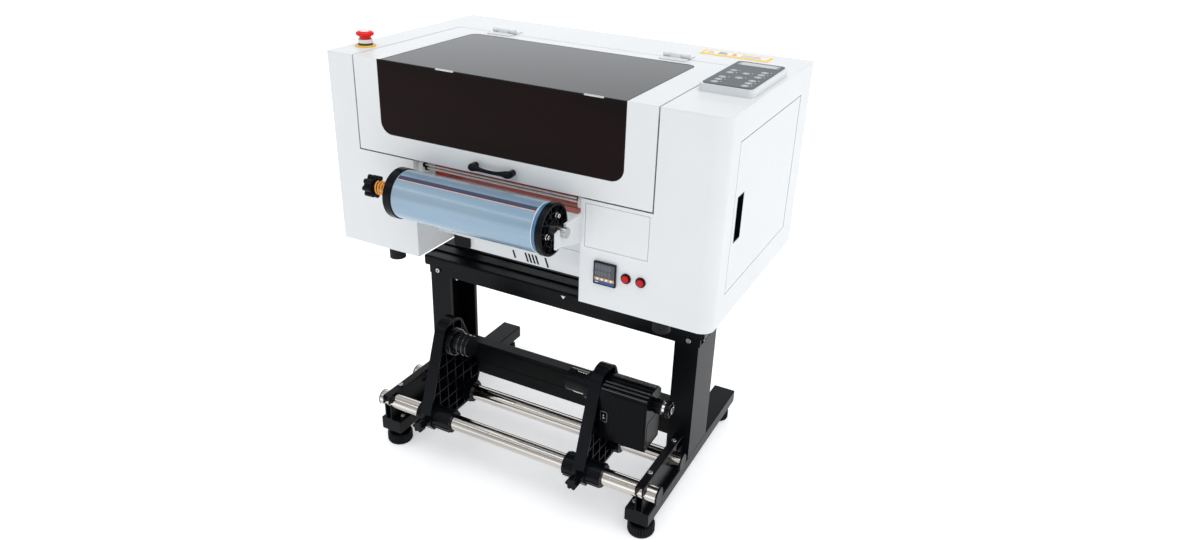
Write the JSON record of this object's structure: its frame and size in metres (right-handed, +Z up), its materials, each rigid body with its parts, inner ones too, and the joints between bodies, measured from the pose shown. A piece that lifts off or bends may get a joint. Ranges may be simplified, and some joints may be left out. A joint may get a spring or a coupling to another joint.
{
  "type": "roll-to-roll uv film printer",
  "caption": "Roll-fed UV printer: white cabinet with smoked lift-up lid, supply roll on front arms, black beam stand and a motorised take-up unit on two chrome tubes.",
  "frame": {"origin": "on the floor, under the centre of the overall box", "axes": "+Z up, -Y towards the operator (supply roll side), +X to the operator's right (controls and take-up motor)"},
  "size_m": [0.9, 0.656, 0.995],
  "materials": {
    "white_paint": "smooth satin powder coat",
    "black_paint": "satin black powder coat",
    "zinc_steel": "bright zinc-plated steel",
    "membrane_grey": "printed polyester membrane",
    "amber_acrylic": "translucent red-brown UV shield",
    "smoked_acrylic": "dark smoked acrylic, polished",
    "black_plastic": "moulded nylon, fine grain",
    "aluminium": "clear anodised",
    "feed_steel": "ground and chromed",
    "rubber": "matt rubber",
    "ink_bottle": "opaque blow-moulded bottle",
    "red_plastic": "glossy",
    "film": "wound clear film, silvery blue",
    "orange_spring": "orange lacquer on wire",
    "chrome": "polished tube"
  },
  "bodies": {
    "cabinet": {"left_cover": "white_paint", "right_cover": "white_paint", "front_access_panel": "white_paint", "top_deck": "white_paint", "rear_panel": "white_paint", "recess_liner": "white_paint", "roll_arms": "white_paint", "base_chassis": "zinc_steel", "stand_bolts": "zinc_steel", "lid_hinge_bases": "zinc_steel", "linear_rail": "zinc_steel", "keypad_membrane": "membrane_grey", "amber_shield": "amber_acrylic", "capping_station": "black_plastic", "temperature_controller": "black_plastic", "button_bezels": "black_plastic", "estop_base": "black_plastic", "levelling_feet": "black_plastic", "platen": "aluminium", "gantry_beam": "aluminium", "carriage_belt": "rubber", "body_feet": "rubber", "ink_tanks": "ink_bottle", "foot_beams": "black_paint", "columns": "black_paint", "top_beam": "black_paint", "cross_beam": "black_paint", "risers": "black_paint", "tube_saddles": "black_paint", "clamp_bars": "black_paint", "takeup_tubes": "chrome"},
    "lid": {"lid_shell": "white_paint", "lid_window": "smoked_acrylic", "lid_handle": "black_plastic", "lid_hinge_knuckles": "zinc_steel"},
    "side_door": {"side_door": "white_paint", "door_pull": "black_plastic"},
    "carriage": {"print_carriage": "aluminium", "print_heads": "aluminium", "uv_lamp": "black_plastic"},
    "drive_pulley": {"drive_pulley": "aluminium"},
    "idler_pulley": {"idler_pulley": "aluminium"},
    "feed_roller": {"feed_roller": "feed_steel"},
    "pinch_rollers": {"pinch_rollers": "rubber"},
    "supply_roll": {"supply_shaft": "zinc_steel", "supply_flanges": "black_plastic", "film_roll": "film", "brake_spring": "orange_spring"},
    "brake_knob": {"brake_knob": "black_plastic"},
    "heater_button": {"heater_button": "red_plastic"},
    "fan_button": {"fan_button": "red_plastic"},
    "estop_button": {"estop_button": "red_plastic"},
    "left_holder": {"holder_left": "black_plastic"},
    "right_holder": {"holder_right": "black_plastic", "motor_housing": "black_paint"},
    "idle_hub": {"idle_hub": "black_plastic"},
    "drive_hub": {"drive_hub": "black_plastic"},
    "motor_switch": {"motor_switch": "black_plastic"},
    "left_clamp_knob": {"clamp_knob_left": "black_plastic"},
    "right_clamp_knob": {"clamp_knob_right": "black_plastic"}
  },
  "joints": [
    {"name": "lid_hinge", "type": "hinge", "parent": "cabinet", "child": "lid", "pos_m": [0, 0.1722, 0.969], "axis": [-1, 0, 0], "range_deg": [0, 75]},
    {"name": "side_door_hinge", "type": "hinge", "parent": "cabinet", "child": "side_door", "pos_m": [0.444, 0.246, 0.75], "axis": [0, 0, 1], "range_deg": [0, 110]},
    {"name": "carriage_slide", "type": "slide", "parent": "cabinet", "child": "carriage", "axis": [1, 0, 0], "range_m": [-0.62, 0.03]},
    {"name": "drive_pulley_spin", "type": "hinge", "parent": "cabinet", "child": "drive_pulley", "pos_m": [-0.38, 0.08, 0.88], "axis": [0, 1, 0], "range_deg": [-150, 2900]},
    {"name": "idler_pulley_spin", "type": "hinge", "parent": "cabinet", "child": "idler_pulley", "pos_m": [0.38, 0.08, 0.88], "axis": [0, 1, 0], "range_deg": [-150, 2900]},
    {"name": "feed_roller_spin", "type": "hinge", "parent": "cabinet", "child": "feed_roller", "pos_m": [0, -0.112, 0.69], "axis": [1, 0, 0], "continuous": true},
    {"name": "pinch_rollers_spin", "type": "hinge", "parent": "cabinet", "child": "pinch_rollers", "pos_m": [0, -0.112, 0.7084], "axis": [1, 0, 0], "continuous": true},
    {"name": "supply_roll_spin", "type": "hinge", "parent": "cabinet", "child": "supply_roll", "pos_m": [0, -0.275, 0.7135], "axis": [1, 0, 0], "continuous": true},
    {"name": "brake_knob_turn", "type": "hinge", "parent": "supply_roll", "child": "brake_knob", "pos_m": [-0.289, -0.275, 0.7135], "axis": [1, 0, 0], "continuous": true},
    {"name": "heater_button_press", "type": "slide", "parent": "cabinet", "child": "heater_button", "axis": [0, 1, 0], "range_m": [0, 0.003], "stiffness_N_per_m": 400},
    {"name": "fan_button_press", "type": "slide", "parent": "cabinet", "child": "fan_button", "axis": [0, 1, 0], "range_m": [0, 0.003], "stiffness_N_per_m": 400},
    {"name": "estop_press", "type": "slide", "parent": "cabinet", "child": "estop_button", "axis": [0, 0, -1], "range_m": [0, 0.006]},
    {"name": "left_holder_slide", "type": "slide", "parent": "cabinet", "child": "left_holder", "axis": [1, 0, 0], "range_m": [-0.075, 0.1]},
    {"name": "right_holder_slide", "type": "slide", "parent": "cabinet", "child": "right_holder", "axis": [1, 0, 0], "range_m": [-0.05, 0.075]},
    {"name": "idle_hub_spin", "type": "hinge", "parent": "left_holder", "child": "idle_hub", "pos_m": [0, -0.141, 0.296], "axis": [1, 0, 0], "continuous": true},
    {"name": "drive_hub_spin", "type": "hinge", "parent": "right_holder", "child": "drive_hub", "pos_m": [0, -0.141, 0.296], "axis": [1, 0, 0], "continuous": true},
    {"name": "motor_switch_rock", "type": "hinge", "parent": "right_holder", "child": "motor_switch", "pos_m": [0.222, -0.177, 0.2535], "axis": [1, 0, 0], "range_deg": [-8, 8]},
    {"name": "left_clamp_knob_turn", "type": "hinge", "parent": "left_holder", "child": "left_clamp_knob", "pos_m": [-0.219, -0.263, 0.1214], "axis": [0, -1, 0], "continuous": true},
    {"name": "right_clamp_knob_turn", "type": "hinge", "parent": "right_holder", "child": "right_clamp_knob", "pos_m": [0.195, -0.263, 0.1214], "axis": [0, -1, 0], "continuous": true}
  ],
  "couplings": [
    {"joint": "drive_pulley_spin", "follows": "carriage_slide", "rad_per_m": -80},
    {"joint": "idler_pulley_spin", "follows": "carriage_slide", "rad_per_m": -80},
    {"joint": "pinch_rollers_spin", "follows": "feed_roller_spin", "ratio": -1.25}
  ]
}
